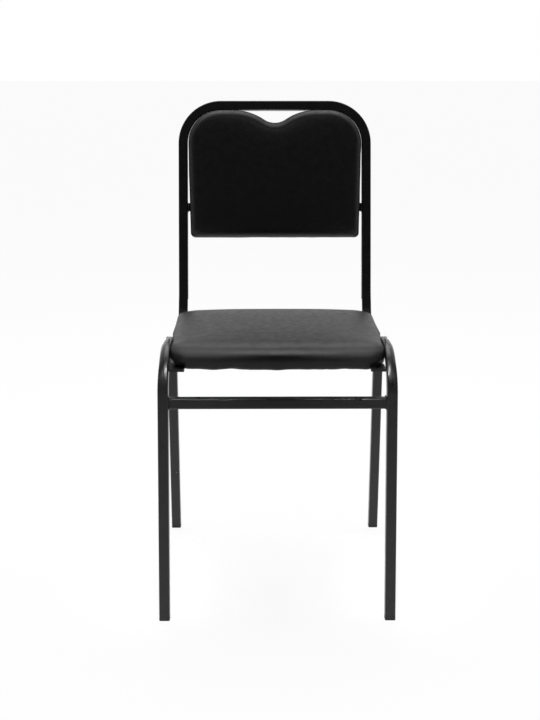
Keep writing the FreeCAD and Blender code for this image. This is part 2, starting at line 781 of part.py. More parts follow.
nodes.append(build_seat_board("seat_board", seat_placement))
board_room = build_seat_board("seat_board_room", seat_placement, bored=False)
envelopes = [build_rail_envelope(f"{name}_rail_room", side) for name, side in SIDES]
seat_levels = cushion_levels(size("seat_edge_height"), size("seat_waist"), size("seat_crown"),
                             size("seat_crown_reach"), size("seat_edge_round"), size("seat_wrap"))
seat_blank = add_shape("seat_pad_blank", cushion_solid(seat_outline, seat_levels), seat_placement)
nodes.append(cut("seat_pad", seat_blank, [board_room] + envelopes))

nodes.append(build_back_board("back_board"))
back_room = build_back_board("back_board_room", bored=False)
back_levels = cushion_levels(size("pad_thickness"), size("pad_waist"), size("pad_crown"),
                             size("pad_crown_reach"), size("pad_edge_round"), size("pad_wrap"))
back_blank = add_shape("back_pad_blank", cushion_solid(back_outline, back_levels), hoop_placement)
nodes.append(cut("back_pad", back_blank, [back_room]))

for index, (name, side) in enumerate(SIDES):
    nodes.append(build_side_lug(f"{name}_side_lug", side, back_screws[index]))
    nodes.append(build_top_lug(f"{name}_top_lug", side, back_screws[index + 2]))

seat_screw_items = []
for name, side in SIDES:
    tab_seat = Placement(Vector(side * tab_screw, tab_screw_run, -size("tab_thickness")), Rotation())
    seat_screw_items.append(build_screw(f"{name}_tab_screw", seat_placement.multiply(tab_seat),
                                        size("tab_thickness"), "Sheet.tab_thickness"))
    bar_seat = Placement(Vector(side * size("cross_screw_half_spacing"), cross_run, -tube),
                         Rotation())
    seat_screw_items.append(build_screw(f"{name}_bar_screw", seat_placement.multiply(bar_seat),
                                        tube, "Sheet.tube_side"))
nodes.append(group("seat_screws", seat_screw_items))

back_screw_items = []
lug_back = size("back_board_face") + size("lug_thickness")
for index, point in enumerate(back_screws):
    lug_seat = Placement(Vector(point.x, lug_back, point.y), Rotation(Vector(1, 0, 0), 90))
    back_screw_items.append(build_screw(f"back_screw{index}", hoop_placement.multiply(lug_seat),
                                        size("lug_thickness"), "Sheet.lug_thickness"))
nodes.append(group("back_screws", back_screw_items))
doc.recompute()

for item in doc.Objects:
    if "Invalid" in item.State or "Error" in item.State:
        raise RuntimeError(f"{item.Label} failed to build: {item.State}")
for item in nodes:
    if item.Shape.isNull() or not item.Shape.isValid():
        raise RuntimeError(f"{item.Label} has no valid shape")

os.makedirs("parts", exist_ok=True)
for item in nodes:
    item.Shape.exportStep(f"parts/{item.Label}.step")
    print(f"{item.Label}: {len(item.Shape.Solids)} solids, {item.Shape.Volume:.0f} mm3")
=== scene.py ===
"""Dressed stacking visitor chair: bent black tube, vinyl seat and back, soft studio light."""
import bmesh
import bpy
import json
import math
import numpy as np
from mathutils import Matrix, Vector, noise


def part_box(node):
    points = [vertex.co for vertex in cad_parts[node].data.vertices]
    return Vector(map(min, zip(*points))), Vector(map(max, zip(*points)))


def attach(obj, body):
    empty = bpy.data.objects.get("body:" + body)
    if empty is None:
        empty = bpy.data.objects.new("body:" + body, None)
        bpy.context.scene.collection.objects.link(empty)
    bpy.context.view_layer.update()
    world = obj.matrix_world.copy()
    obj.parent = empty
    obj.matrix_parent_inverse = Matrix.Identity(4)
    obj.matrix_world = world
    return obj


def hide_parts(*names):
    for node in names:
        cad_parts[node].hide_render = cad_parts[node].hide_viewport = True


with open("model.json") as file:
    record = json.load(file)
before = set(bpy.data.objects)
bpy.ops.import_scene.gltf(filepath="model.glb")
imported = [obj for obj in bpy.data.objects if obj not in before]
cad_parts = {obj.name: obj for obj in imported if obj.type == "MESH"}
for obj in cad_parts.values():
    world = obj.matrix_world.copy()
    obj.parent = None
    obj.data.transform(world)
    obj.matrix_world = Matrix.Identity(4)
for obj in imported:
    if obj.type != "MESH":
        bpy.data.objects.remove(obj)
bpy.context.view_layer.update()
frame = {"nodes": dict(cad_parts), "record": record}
nodes = frame["nodes"]

# Driving sizes in metres and radians, the same as the frame's
TUBE = 0.018
BEND_RADIUS = 0.074
FOOT_HALF = 0.1953
LEG_LEAN = math.radians(0.58)
RAIL_TOE = math.radians(1.36)
CAP_HEIGHT = 0.005
FRONT_BEND_HEIGHT = 0.402
RAIL_FALL = math.radians(13.5)
REAR_CORNER_DEPTH = 0.429
JOINT_HEIGHT = 0.486
RECLINE = math.radians(11.8)
CHAIR_HEIGHT = 0.862

SEAT_SETBACK = 0.018
SEAT_DEPTH = 0.414
SEAT_UNDERSIDE = 0.4446
SEAT_FALL = math.radians(2.4)
SEAT_EDGE_HEIGHT = 0.036
SEAT_CROWN = 0.006
SEAT_WRAP = 0.003

PAD_HEIGHT = 0.249
PAD_TOP_CORNER = 0.065
PAD_BOTTOM_CORNER = 0.010
PAD_THICKNESS = 0.030
PAD_CROWN = 0.004
PAD_REAR = 0.003
PAD_TOP_CLEARANCE = 0.0004
DIP_DEPTH = 0.025
DIP_HALF = 0.082
DIP_SHOULDER = 0.110

# The tube's rounded corners, and how its walls are drawn by the bends
TUBE_CORNER = 0.0024
LEG_NARROWING = 0.55
HOOP_NARROWING = 0.08
WALL_SPREAD = 0.07
LEG_DRAW_LEAN = 0.0044
LEG_DRAW_TILT = 0.0026
LEG_SINK = 0.0026
WALL_CROWN = 0.0030
WALL_CROWN_POWER = 4
CROWN_ONSET = 4.0
CROWN_RIDGE = 0.3
FULL_DRAW = 0.8
DRAW_POWER = 2.2
RAIL_FADE = 0.25
SOCKET_FLARE = 0.9
SOCKET_TAPER = 0.5
SOCKET_DEPTH = 0.006

# Plan and edges of the covers, fitted to the photograph
SEAT_FRONT_HALF = 0.1808
SEAT_REAR_HALF = 0.190
SEAT_FRONT_CORNER = 0.028
SEAT_REAR_CORNER = 0.028
SEAT_WAIST = 0.026
SEAT_EDGE_ROUND = 0.010
PAD_TOP_HALF = 0.1711
PAD_BOTTOM_HALF = 0.1648
PAD_MIDDLE = 0.55
PAD_WRAP = 0.0005
PAD_WAIST = 0.012
PAD_EDGE_ROUND = 0.016
CROWN_POWER = 2.6

# The hem under a board and the swell of a cover's side
HEM_REACH = 0.030
HEM_TUCK = 0.002
HEM_THICKNESS = 0.0008
HEM_MIDDLE = 0.6
HEM_START = 0.003
FOOT_RISE = 0.5
SWELL_RISE = 0.75
SIDE_SWELL = 0.0004

# The seat's front edge, bowed and rolled, and its arched rear
FRONT_BOW = 0.011
FRONT_ROLL = 0.008
CORNER_ROLL = 0.005
ROLL_DEPTH = 0.042
ROLL_CORNER = 0.100
FRONT_BELLY = 0.007
BELLY_HEIGHT = 0.015
REAR_ARCH = 0.006
ARCH_LEVEL = 0.25
ARCH_POWER = 4

# Stuffing, blown up as cloth
CLOTH_PRESSURE = 4
CLOTH_FRAMES = 20
CLOTH_QUALITY = 4
CLOTH_CAP = 0.003
CLOTH_HOLD = 0.004
CLOTH_EVENING = 60

# How the rails press the seat
RAIL_PRESS = 0.004
BEND_CLEAR_DEPTH = 0.11
PRESS_EASE = 0.06
PRESS_LIMIT = 0.8

# Waves of the stapled edge along the seat and the back's rim
STAPLE_PITCH = 0.034
FINE_PITCH = STAPLE_PITCH / 4
WAVE_ROW = 4.1
FINE_ROW = 9.3
RIM_ROW = 8.7
NOISE_PLANE = 0.37
WAVE_HEIGHT = 0.0022
FINE_HEIGHT = 0.0006
WAVE_SINK = 0.0008
WAVE_LEVEL = 0.001
WAVE_BAND = 0.008
FRONT_SAG = 0.0022
CORNER_CURL = 0.006
SAG_DEPTH = 0.08
RIM_LEVEL = 0.002
RIM_BAND = 0.009
RIM_SKEW = 1.3
RIM_PULL = 0.0004
RIM_WAVE = 0.0012

# Tucks of the cover at the seat's corners, with the depth of each
PLEAT_FLOOR = -0.0005
PLEAT_HEIGHT = 0.022
PLEAT_RANGE = 0.06
PLEAT_WIDTH = 0.07
PLEAT_SLANT = 12.0
FRONT_LEFT_PLEATS = (0.0008, 0.0026, 0.0012)
FRONT_RIGHT_PLEATS = (0.0008, 0.0016, 0.0010)
REAR_RIGHT_PLEATS = (0.0012, 0.0018)
REAR_LEFT_PLEATS = (0.0016, 0.0012)
TINY = 1e-6

# Weld beads
BEAD_RADIUS = 0.0016
BEAD_PITCH = 0.0016
BEAD_LUMPS = 420.0
BEAD_UNEVEN = 0.35
BEAD_END = 0.4
BEAD_SIDES = 8

# Range of a noise texture that a material makes use of
TEXTURE_LOW = 0.3
TEXTURE_HIGH = 0.7

# The floor and the white sweep, whose mirror image fades towards the camera
FLOOR_COLOR = (0.7, 0.7, 0.7)
FLOOR_ROUGHNESS = 0.9
FLOOR_SPECULAR = 0.1
FLOOR_WHITE = 0.85
FLOOR_GLOW = 1.08
FLOOR_REACH = 30.0
SWEEP_FRONT = -1.4
SWEEP_FULL = 0.0
WORLD_FRONT = -0.1
WORLD_FULL = 0.5
STUDIO_FRONT = 0.08
STUDIO_BACK = 0.8

# The photograph's camera, placed from the front faces of the front legs
FOCAL_LENGTH = 68.8
SENSOR_WIDTH = 36
CAMERA_PITCH = math.radians(13.2)
CAMERA_YAW = math.radians(0.4)
CAMERA_PLACE = Vector((-0.0283, -2.2146, 0.9828))

# How finely the meshes are divided
RUN_STEPS = 17
BEND_STEPS = 29
FLAT_STEPS = 9
CORNER_STEPS = 5
SEAT_CORNER_STEPS = 26
SEAT_EDGE_STEPS = 52
PAD_CORNER_STEPS = 18
PAD_BOTTOM_STEPS = 56
PAD_SIDE_STEPS = 32
PAD_LOBE_STEPS = 7
DIP_STEPS = 14
FOOT_STEPS = 5
SHOULDER_STEPS = 9
TOP_STEPS = 26
RIM_CROWDING = 1.5

HALF_TUBE = TUBE / 2
FRONT_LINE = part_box("left_front_foot")[0].lerp(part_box("left_front_foot")[1], 0.5).y


# Materials
def new_material(name, color, roughness):
    """A principled material with its node tree and shader ready to dress."""
    material = bpy.data.materials.new(name)
    material.use_nodes = True
    tree = material.node_tree
    shader = tree.nodes["Principled BSDF"]
    shader.inputs["Base Color"].default_value = (*color, 1)
    shader.inputs["Roughness"].default_value = roughness
    return material, tree, shader


def texture_space(tree):
    """Object coordinates, which are metres in the chair's frame."""
    return tree.nodes.new("ShaderNodeTexCoord").outputs["Object"]


def add_noise(tree, space, scale, detail=2.0):
    node = tree.nodes.new("ShaderNodeTexNoise")
    node.inputs["Scale"].default_value = scale
    node.inputs["Detail"].default_value = detail
    tree.links.new(space, node.inputs["Vector"])
    return node.outputs["Fac"]


def remap(tree, value, low, high):
    """Spread a texture value over low to high."""
    node = tree.nodes.new("ShaderNodeMapRange")
    node.inputs["From Min"].default_value = TEXTURE_LOW
    node.inputs["From Max"].default_value = TEXTURE_HIGH
    node.inputs["To Min"].default_value = low
    node.inputs["To Max"].default_value = high
    tree.links.new(value, node.inputs["Value"])
    return node.outputs["Result"]


def tint(tree, shader, value, dark, light):
    """Vary the base colour between two shades by a texture value."""
    ramp = tree.nodes.new("ShaderNodeValToRGB")
    ramp.color_ramp.elements[0].position = TEXTURE_LOW
    ramp.color_ramp.elements[0].color = (*dark, 1)
    ramp.color_ramp.elements[1].position = TEXTURE_HIGH
    ramp.color_ramp.elements[1].color = (*light, 1)
    tree.links.new(value, ramp.inputs["Fac"])
    tree.links.new(ramp.outputs["Color"], shader.inputs["Base Color"])


def add_bump(tree, shader, height, strength, distance):
    bump = tree.nodes.new("ShaderNodeBump")
    bump.inputs["Strength"].default_value = strength
    bump.inputs["Distance"].default_value = distance
    tree.links.new(height, bump.inputs["Height"])
    tree.links.new(bump.outputs["Normal"], shader.inputs["Normal"])


def vinyl_material():
    """Matte black upholstery vinyl with a fine pebble grain and slight mottling."""
    material, tree, shader = new_material("black_vinyl", (0.005, 0.005, 0.005), 0.5)
    shader.inputs["Specular IOR Level"].default_value = 0.4
    space = texture_space(tree)
    mottle = add_noise(tree, space, scale=90, detail=3)
    tint(tree, shader, mottle, dark=(0.0025, 0.0025, 0.0026), light=(0.0050, 0.0050, 0.0052))
    tree.links.new(remap(tree, mottle, low=0.46, high=0.58), shader.inputs["Roughness"])
    pebble = tree.nodes.new("ShaderNodeTexVoronoi")
    pebble.inputs["Scale"].default_value = 620
    tree.links.new(space, pebble.inputs["Vector"])
    grain = add_noise(tree, space, scale=1400)
    joined = tree.nodes.new("ShaderNodeMath")
    joined.operation = "MULTIPLY_ADD"
    joined.inputs[1].default_value = 0.5
    tree.links.new(grain, joined.inputs[0])
    tree.links.new(pebble.outputs["Distance"], joined.inputs[2])
    add_bump(tree, shader, joined.outputs["Value"], strength=0.35, distance=0.0004)
    return material


def paint_material():
    """Semi-gloss black powder coat with a fine orange-peel texture."""
    material, tree, shader = new_material("black_powder_coat", (0.006, 0.006, 0.006), 0.3)
    space = texture_space(tree)
    cloud = add_noise(tree, space, scale=40, detail=3)
    tint(tree, shader, cloud, dark=(0.006, 0.006, 0.0062), light=(0.010, 0.010, 0.0103))
    tree.links.new(remap(tree, cloud, low=0.26, high=0.34), shader.inputs["Roughness"])
    peel = add_noise(tree, space, scale=1100, detail=3)
    add_bump(tree, shader, peel, strength=0.22, distance=0.0003)
    return material


def plastic_material():
    """Matte moulded black plastic of the feet and plugs, scuffed a little."""
    material, tree, shader = new_material("black_foot_plastic", (0.012, 0.012, 0.012), 0.55)
    space = texture_space(tree)
    scuff = add_noise(tree, space, scale=260, detail=4)
    tint(tree, shader, scuff, dark=(0.009, 0.009, 0.009), light=(0.020, 0.020, 0.020))
    tree.links.new(remap(tree, scuff, low=0.48, high=0.66), shader.inputs["Roughness"])
    grain = add_noise(tree, space, scale=900)
    add_bump(tree, shader, grain, strength=0.15, distance=0.0002)
    return material


def board_material():
    """Black-stained plywood: grain drawn out across the board."""
    material, tree, shader = new_material("stained_plywood", (0.016, 0.014, 0.013), 0.6)
    stretch = tree.nodes.new("ShaderNodeMapping")
    stretch.inputs["Scale"].default_value = (12, 160, 160)
    tree.links.new(texture_space(tree), stretch.inputs["Vector"])
    fibre = add_noise(tree, stretch.outputs["Vector"], scale=1.0, detail=6)
    tint(tree, shader, fibre, dark=(0.011, 0.010, 0.009), light=(0.026, 0.022, 0.019))
    add_bump(tree, shader, fibre, strength=0.3, distance=0.0004)
    return material


def screw_material():
    """Black zinc screws, worn towards bare steel in specks."""
    material, tree, shader = new_material("black_zinc", (0.05, 0.05, 0.055), 0.38)
    shader.inputs["Metallic"].default_value = 0.9
    wear = add_noise(tree, texture_space(tree), scale=500, detail=4)
    tint(tree, shader, wear, dark=(0.035, 0.035, 0.038), light=(0.10, 0.10, 0.105))
    return material


VINYL = vinyl_material()
PAINT = paint_material()
PLASTIC = plastic_material()
BOARD = board_material()
ZINC = screw_material()


def dress(obj, material):
    obj.data.materials.clear()
    obj.data.materials.append(material)


MATERIAL_OF_SLOT = {"frame_paint": PAINT, "foot_plastic": PLASTIC, "vinyl": VINYL,
                    "plywood": BOARD, "screw_steel": ZINC}
for part in frame["record"]["subparts"]:
    dress(nodes[part["node"]], MATERIAL_OF_SLOT[part["material_slot"]])


def new_object(name, points, faces, material):
    """A smooth mesh piece that rides on the chair."""
    mesh = bpy.data.meshes.new(name)
    mesh.from_pydata([tuple(point) for point in points], [], faces)
    mesh.update()
    obj = bpy.data.objects.new(name, mesh)
    bpy.context.scene.collection.objects.link(obj)
    dress(obj, material)
    mesh.shade_smooth()
    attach(obj, "root")
    return obj


# Bent square tube
def no_draw(share):
    return 0.0


def front_draw(share):
    """The front bend is drawn more and more towards the rail."""
    return min(1.0, share / FULL_DRAW) ** DRAW_POWER


def rail_draw(share):
    """What the front bend leaves in the start of the rail."""
    return max(0.0, 1 - share / RAIL_FADE)


def rear_draw(share):
    """The rear bend spreads the tube towards the upright's root."""
    return -SOCKET_FLARE * share


def socket_draw(share):
    """The upright's root stays spread and closes on the hoop at its end."""
    return -SOCKET_FLARE * min(1.0, (1 - share) / SOCKET_TAPER)


def hoop_draw(share):
    """The hoop's bends are drawn most in their middle."""
    return math.sin(math.pi * share)


def side_path():
    """Centre line of a side tube in its own plane, with its bends, and its upper end."""
    bend_centre = Vector((BEND_RADIUS, FRONT_BEND_HEIGHT))
    rail_normal = Vector((math.sin(RAIL_FALL), math.cos(RAIL_FALL)))
    rail_way = Vector((math.cos(RAIL_FALL), -math.sin(RAIL_FALL)))
    upright_way = Vector((math.sin(RECLINE), math.cos(RECLINE)))
    rail_start = bend_centre + rail_normal * BEND_RADIUS
    corner = rail_start + rail_way * ((REAR_CORNER_DEPTH - rail_start.x) / rail_way.x)
    turn = math.pi / 2 - RECLINE + RAIL_FALL
    reach = BEND_RADIUS * math.tan(turn / 2)
    rail_end = corner - rail_way * reach
    upright_start = corner + upright_way * reach
    joint = upright_start + upright_way * ((JOINT_HEIGHT - upright_start.y) / upright_way.y)
    runs = [(Vector((0, CAP_HEIGHT)), Vector((0, FRONT_BEND_HEIGHT)), math.pi / 2, no_draw),
            (rail_start, rail_end, -RAIL_FALL, rail_draw),
            (upright_start, joint, math.pi / 2 - RECLINE, socket_draw)]
    return runs, bend_centre, rail_end + rail_normal * BEND_RADIUS


def stations(runs, bends):
    """Points along runs and arcs as (point, heading, draw).

    A bend is its side, +1 where its stretched wall is on the left of the way, and its draw.
    """
    result = []
    for index, (start, end, heading, draw) in enumerate(runs):
        for share in np.linspace(0, 1, RUN_STEPS):
            result.append((start.lerp(end, share), heading, draw(share)))
        if index + 1 == len(runs):
            break
        side, bend_draw = bends[index]
        next_heading = runs[index + 1][2]
        centre = end + Vector((math.sin(heading), -math.cos(heading))) * side * BEND_RADIUS
        for share in np.linspace(0, 1, BEND_STEPS)[1:-1]:
            angle = heading + (next_heading - heading) * share
            point = centre - Vector((math.sin(angle), -math.cos(angle))) * side * BEND_RADIUS
            result.append((point, angle, bend_draw(share)))
    return result


def section_points():
    """Rounded square, walked once round, as (across, outward) offsets from its centre."""
    inner = HALF_TUBE - TUBE_CORNER
    points = []
    for quarter in range(4):
        turn = Matrix.Rotation(-quarter * math.pi / 2, 2)
        for share in np.linspace(0, 1, FLAT_STEPS)[:-1]:
            points.append(turn @ Vector((inner * (2 * share - 1), HALF_TUBE)))
        for angle in np.linspace(math.pi / 2, 0, CORNER_STEPS)[:-1]:
            way = Vector((math.cos(angle), math.sin(angle)))
            points.append(turn @ (Vector((inner, inner)) + way * TUBE_CORNER))
    return points


def drawn_section(point, draw, narrowing, lean):
    """The section in a bend: its stretched wall narrowed, crowned and leaning, the other spread."""
    across, outward = point
    side = 1 if draw >= 0 else -1
    amount = abs(draw)
    level = max(0.0, 0.5 + 0.5 * side * outward / HALF_TUBE)
    width = 1 - amount * (narrowing * level - WALL_SPREAD * (1 - level))
    shift = 0.0
    if lean:
        inward = math.copysign(across / HALF_TUBE, across * lean)
        sink = amount * level * (inward * LEG_DRAW_TILT + LEG_SINK)
        crown = min(1.0, CROWN_ONSET * amount) * WALL_CROWN * level ** WALL_CROWN_POWER
        shift = -sink - crown * (inward - CROWN_RIDGE) ** 2
    return across * width + lean * amount * level, outward + shift


def tube_mesh(name, path, to_frame, narrowing, lean=0.0):
    """Skin of a bent tube through its stations; to_frame places (across, point in plane)."""
    section = section_points()
    count = len(section)
    points = []
    for station, heading, draw in path:
        outward = Vector((-math.sin(heading), math.cos(heading)))
        for item in section:
            across, out = drawn_section(item, draw, narrowing, lean if draw > 0 else 0.0)
            points.append(to_frame(across, station + outward * out))
    faces = ring_faces(len(path), count)
    faces.append(tuple(range(count)))
    faces.append(tuple(range((len(path) - 1) * count, len(path) * count))[::-1])
    obj = new_object(name, points, faces, PAINT)
    turn_outward(obj.data)
    return obj


def ring_faces(rings, count):
    """Quads between successive closed rings of the same number of points."""
    faces = []
    for ring in range(rings - 1):
        low = ring * count
        for index in range(count):
            nxt = (index + 1) % count
            faces.append((low + index, low + nxt, low + count + nxt, low + count + index))
    return faces


def turn_outward(mesh):
    """Point the faces outward and keep end caps, the faces with many corners, sharp."""
    work = bmesh.new()
    work.from_mesh(mesh)
    bmesh.ops.recalc_face_normals(work, faces=work.faces)
    for face in work.faces:
        if len(face.verts) > 4:
            for edge in face.edges:
                edge.smooth = False
    work.to_mesh(mesh)
    work.free()


def side_matrix(side):
    """Place of a side tube's plane: toed in and leaning."""
    toe = Matrix.Rotation(side * RAIL_TOE, 4, "Z")
    lean = Matrix.Rotation(-side * LEG_LEAN, 4, "Y")
    return Matrix.Translation((side * FOOT_HALF, FRONT_LINE, 0)) @ toe @ lean


SIDE_RUNS, FRONT_CENTRE, REAR_CENTRE = side_path()
SIDE_BENDS = ((1, front_draw), (-1, rear_draw))
JOINT = SIDE_RUNS[-1][1]
SIDES = (("left", -1), ("right", 1))


def bent_side(name, side):
    """A side tube: front leg, front bend, rail, rear bend and the upright's root."""
    place = side_matrix(side)

    def side_point(across, point):
        return place @ Vector((across, point.x, point.y))

    skin = tube_mesh(f"{name}_bent_tube", stations(SIDE_RUNS, SIDE_BENDS), side_point,
                     LEG_NARROWING, -side * LEG_DRAW_LEAN)
    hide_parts(f"{name}_side_tube")


hoop_foot = side_matrix(1) @ Vector((0, JOINT.x, JOINT.y))
HOOP_HALF = hoop_foot.x
HOOP_RISE = ((CHAIR_HEIGHT - hoop_foot.z - HALF_TUBE * math.sin(RECLINE)) / math.cos(RECLINE)
             - HALF_TUBE)
HOOP = Matrix.Translation((0, hoop_foot.y, hoop_foot.z)) @ Matrix.Rotation(-RECLINE, 4, "X")


def bent_hoop():
    """The back's inverted U, its feet let into the flared ends of the side tubes."""
    shoulder = HOOP_RISE - BEND_RADIUS
    inner = HOOP_HALF - BEND_RADIUS
    left_foot = Vector((-HOOP_HALF, -SOCKET_DEPTH))
    right_foot = Vector((HOOP_HALF, -SOCKET_DEPTH))
    runs = [(left_foot, Vector((-HOOP_HALF, shoulder)), math.pi / 2, no_draw),
            (Vector((-inner, HOOP_RISE)), Vector((inner, HOOP_RISE)), 0.0, no_draw),
            (Vector((HOOP_HALF, shoulder)), right_foot, -math.pi / 2, no_draw)]
    bends = ((1, hoop_draw), (1, hoop_draw))

    def hoop_point(across, point):
        return HOOP @ Vector((point.x, across, point.y))

    skin = tube_mesh("bent_back_hoop", stations(runs, bends), hoop_point, HOOP_NARROWING)
    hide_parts("back_hoop")


def straight_stretcher():
    """The front stretcher with the rounded corners of drawn tube."""
    low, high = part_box("front_stretcher")
    middle = (low + high) / 2
    run = (Vector((low.x, middle.z)), Vector((high.x, middle.z)), 0.0, no_draw)

    def bar_point(across, point):
        return Vector((point.x, middle.y + across, point.y))

    skin = tube_mesh("drawn_stretcher", stations([run], ()), bar_point, 0.0)
    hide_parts("front_stretcher")


for side_name, side_sign in SIDES:
    bent_side(side_name, side_sign)
bent_hoop()
straight_stretcher()


# Cushions
def arc_run(centre, radius, first, last, count):
    return [centre + Vector((math.cos(angle), math.sin(angle))) * radius
            for angle in np.linspace(first, last, count)]


def line_run(start, end, count):
    """Points between two others, without either of them."""
    return [start.lerp(end, share) for share in np.linspace(0, 1, count + 2)[1:-1]]


def corner_arc(before, corner, after, radius, count):
    """Round of a corner between two straight edges, walked counter-clockwise."""
    back = (before - corner).normalized()
    ahead = (after - corner).normalized()
    half = back.angle(ahead) / 2
    reach = radius / math.tan(half)
    centre = corner + (back + ahead).normalized() * (radius / math.sin(half))
    start = corner + back * reach - centre
    end = corner + ahead * reach - centre
    first = math.atan2(start.y, start.x)
    last = math.atan2(end.y, end.x)
    if last < first:
        last += 2 * math.pi
    return arc_run(centre, radius, first, last, count)


def corner_arcs(corners, radii, count):
    return [corner_arc(corners[index - 1], corner, corners[(index + 1) % 4], radii[index], count)
            for index, corner in enumerate(corners)]


def seat_ring(inset):
    """Seat plan drawn in by inset: widening to the rear, its front edge a little bowed."""
    front = SEAT_FRONT_HALF - inset
    rear = SEAT_REAR_HALF - inset
    far = SEAT_DEPTH - inset
    shrink = 1 - inset / SEAT_FRONT_HALF
    corners = [Vector((-front, inset)), Vector((front, inset)),
               Vector((rear, far)), Vector((-rear, far))]
    radii = [SEAT_FRONT_CORNER * shrink] * 2 + [SEAT_REAR_CORNER * shrink] * 2
    arcs = corner_arcs(corners, radii, SEAT_CORNER_STEPS)
    ring = []
    for index, arc in enumerate(arcs):
        ring += arc + line_run(arc[-1], arcs[(index + 1) % 4][0], SEAT_EDGE_STEPS)
    return [point + Vector((0, front_bow(point))) for point in ring]


def front_bow(point):
    """How far the front edge leaves a straight line: forward in the middle, back at its ends."""
    fade = max(0.0, 1 - point.y / (SEAT_DEPTH / 2))
    return FRONT_BOW * ((point.x / SEAT_FRONT_HALF) ** 2 - 0.5) * fade


def back_ring(inset):
    """Back pad's outline drawn in by inset: tapered, with the hand-grip dip in its top edge."""
    top = PAD_TOP - inset
    bottom = PAD_TOP - PAD_HEIGHT + inset
    low = PAD_BOTTOM_HALF - inset
    high = PAD_TOP_HALF - inset
    low_round = PAD_BOTTOM_CORNER * (1 - inset / PAD_BOTTOM_HALF)
    corners = [Vector((-low, bottom)), Vector((low, bottom)), Vector((high, top)), Vector((-high, top))]
    arcs = corner_arcs(corners, [low_round] * 2 + [PAD_TOP_CORNER - inset] * 2, PAD_CORNER_STEPS)
    dip = dip_run(inset)
    return (arcs[0] + line_run(arcs[0][-1], arcs[1][0], PAD_BOTTOM_STEPS)
            + arcs[1] + line_run(arcs[1][-1], arcs[2][0], PAD_SIDE_STEPS)
            + arcs[2] + line_run(arcs[2][-1], dip[0], PAD_LOBE_STEPS)
            + dip + line_run(dip[-1], arcs[3][0], PAD_LOBE_STEPS)
            + arcs[3] + line_run(arcs[3][-1], arcs[0][0], PAD_SIDE_STEPS))


def dip_run(inset):
    """The dip from its right shoulder over its bowl to its left shoulder."""
    bowl = (DIP_HALF ** 2 + DIP_DEPTH ** 2) / (2 * DIP_DEPTH) - DIP_SHOULDER
    bowl_centre = Vector((0, PAD_TOP - DIP_DEPTH + bowl))
    centre = Vector((DIP_HALF, PAD_TOP - DIP_SHOULDER))
    way = bowl_centre - centre
    meet = math.atan2(way.y, way.x)
    shoulder = arc_run(centre, DIP_SHOULDER - inset, math.pi / 2, meet, DIP_STEPS)
    low = arc_run(bowl_centre, bowl + inset, meet - math.pi, -meet, DIP_STEPS)
    other = [Vector((-point.x, point.y)) for point in reversed(shoulder)]
    return shoulder + low[1:-1] + other


def cushion_profile(thickness, waist, edge_round, wrap):
    """Rings from the hem under the board, round the foot and side, to the top's rim."""
    profile = [(HEM_REACH, HEM_TUCK), (HEM_REACH, -HEM_THICKNESS),
               (HEM_REACH * HEM_MIDDLE, -HEM_THICKNESS), (wrap + HEM_START, -HEM_THICKNESS)]
    for angle in np.linspace(0, math.pi / 2, FOOT_STEPS):
        profile.append((wrap * (1 - math.sin(angle)), waist * FOOT_RISE * (1 - math.cos(angle))))
    profile.append((-SIDE_SWELL, waist * SWELL_RISE))
    for angle in np.linspace(0, math.pi / 2, SHOULDER_STEPS):
        profile.append((edge_round * (1 - math.cos(angle)),
                        waist + (thickness - waist) * math.sin(angle)))
    return profile


def cushion_rings(outline, profile, crown, middle):
    """All rings of a cushion, the top ones shrinking towards its middle under the crown."""
    rings = [[(point.x, point.y, height) for point in outline(inset)] for inset, height in profile]
    rim = np.array(rings[-1])
    for share in np.linspace(0, 1, TOP_STEPS)[1:-1] ** RIM_CROWDING:
        ring = rim.copy()
        ring[:, :2] = middle + (rim[:, :2] - middle) * (1 - share)
        ring[:, 2] += crown * (1 - (1 - share) ** CROWN_POWER)
        rings.append(ring)
    return np.array([np.array(ring) for ring in rings])


def evaluated_mesh(obj):
    graph = bpy.context.evaluated_depsgraph_get()
    return bpy.data.meshes.new_from_object(obj.evaluated_get(graph), depsgraph=graph)


def mesh_points(mesh):
    points = np.zeros(len(mesh.vertices) * 3)
    mesh.vertices.foreach_get("co", points)
    return points.reshape(-1, 3)


def inflate(obj, held, cap):
    """How far cloth under a little pressure lifts each point; held points stay, none passes cap."""
    before = mesh_points(obj.data)
    group = obj.vertex_groups.new(name="held")
    group.add([int(index) for index in np.flatnonzero(held)], 1.0, "REPLACE")
    cloth = obj.modifiers.new("Cloth", "CLOTH")
    cloth.settings.vertex_group_mass = "held"
    cloth.settings.use_pressure = True
    cloth.settings.uniform_pressure_force = CLOTH_PRESSURE
    cloth.settings.effector_weights.gravity = 0
    cloth.settings.quality = CLOTH_QUALITY
    cloth.point_cache.frame_start = 1
    cloth.point_cache.frame_end = CLOTH_FRAMES
    scene = bpy.context.scene
    for step in range(1, CLOTH_FRAMES + 1):
        scene.frame_set(step)
    result = evaluated_mesh(obj)
    move = mesh_points(result) - before
    bpy.data.meshes.remove(result)
    obj.modifiers.clear()
    obj.vertex_groups.clear()
    scene.frame_set(1)
    return np.clip(move[:, 2:], 0, cap)


def even_out(mesh, values, rounds):
    """Smooth values held at a mesh's points along its edges."""
    edges = np.zeros(len(mesh.edges) * 2, dtype=np.int64)
    mesh.edges.foreach_get("vertices", edges)
    edges = edges.reshape(-1, 2)
    degree = np.bincount(edges.ravel(), minlength=len(values)).astype(float)
    for _ in range(rounds):
        total = np.zeros_like(values)
        np.add.at(total, edges[:, 0], values[edges[:, 1]])
        np.add.at(total, edges[:, 1], values[edges[:, 0]])
        values = 0.5 * values + 0.5 * total / degree[:, None]
    return values


